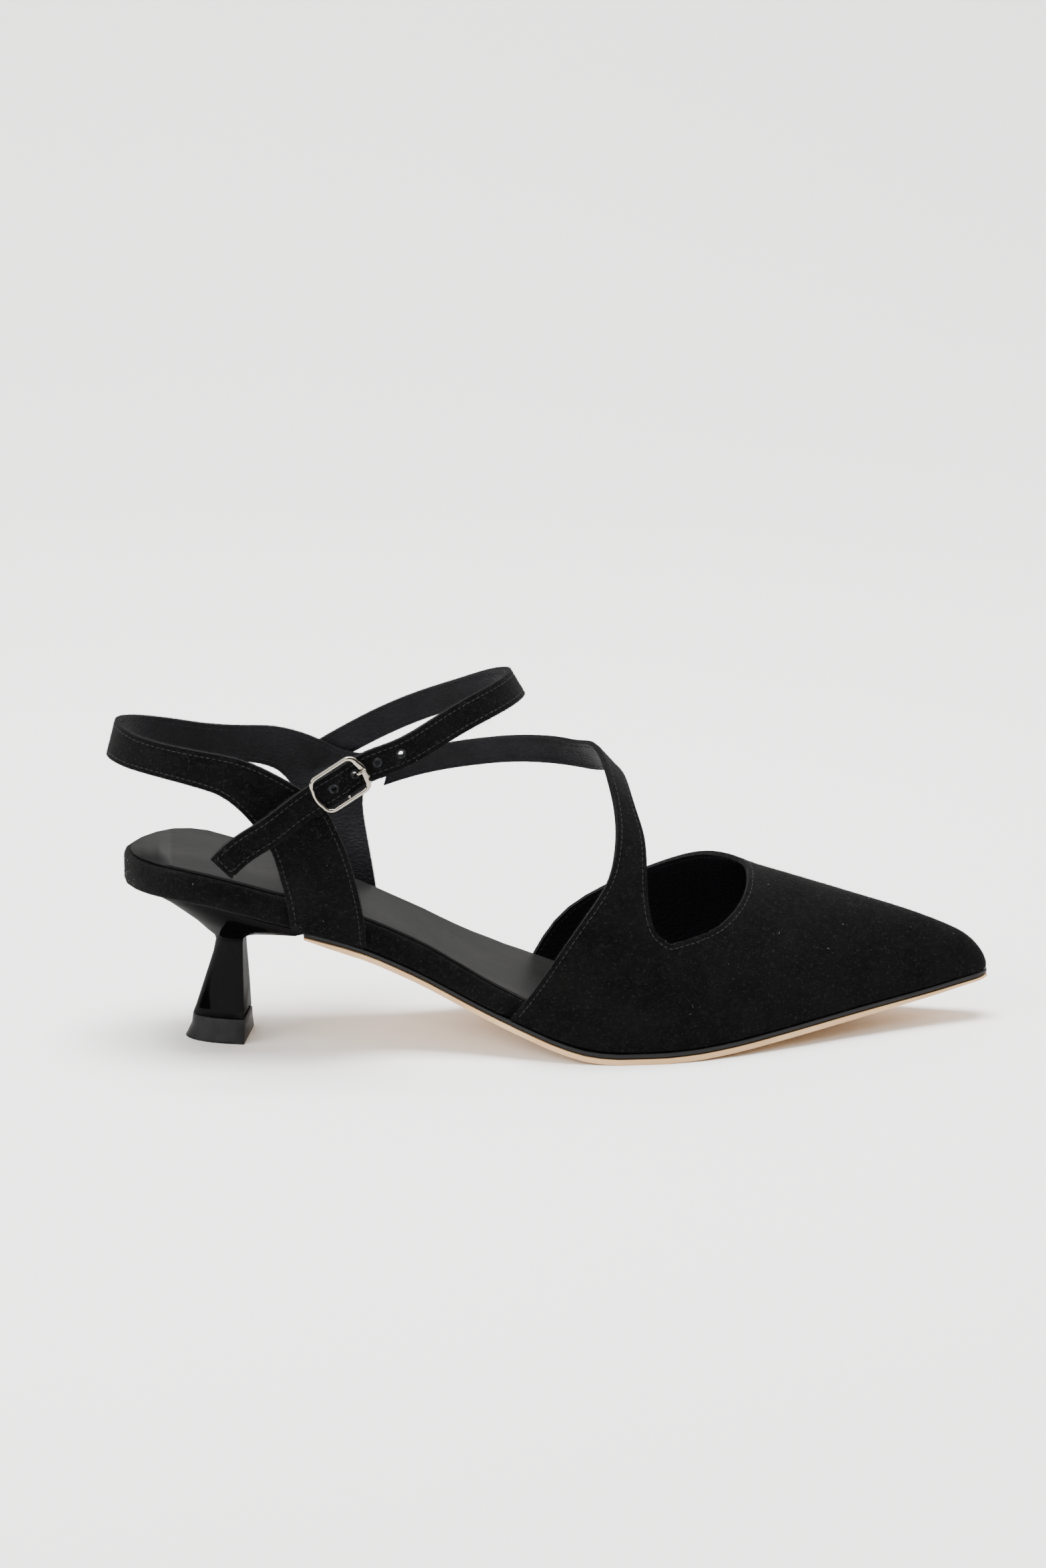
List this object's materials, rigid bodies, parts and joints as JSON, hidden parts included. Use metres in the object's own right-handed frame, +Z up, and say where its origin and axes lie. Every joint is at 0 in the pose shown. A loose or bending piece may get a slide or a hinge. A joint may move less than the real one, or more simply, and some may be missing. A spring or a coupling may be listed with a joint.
{
  "type": "slingback shoe",
  "caption": "Pointed slingback shoe for the right foot with a low curved heel, a strap crossing the instep and a buckled ankle strap",
  "frame": {"origin": "middle of the heel tip's foot, on the floor", "axes": "+X from the heel to the toe, +Y to the inner side of the foot, +Z up"},
  "size_m": [0.2669, 0.0769, 0.1127],
  "materials": {
    "tan_leather": "smooth sole edge",
    "gloss_black": "lacquered",
    "black_suede": "napped suede",
    "charcoal_leather": "soft matt lining",
    "dark_rubber": "matt",
    "pale_nickel": "polished nickel"
  },
  "bodies": {
    "root": {"outsole": "tan_leather", "rand": "gloss_black", "footbed": "black_suede", "sock": "charcoal_leather", "heel": "gloss_black", "heel_tip": "dark_rubber", "upper_vamp": "black_suede", "upper_sling": "black_suede", "ankle_strap": "black_suede", "buckle_tab": "black_suede", "buckle_frame": "pale_nickel", "buckle_prong": "pale_nickel"}
  },
  "joints": []
}
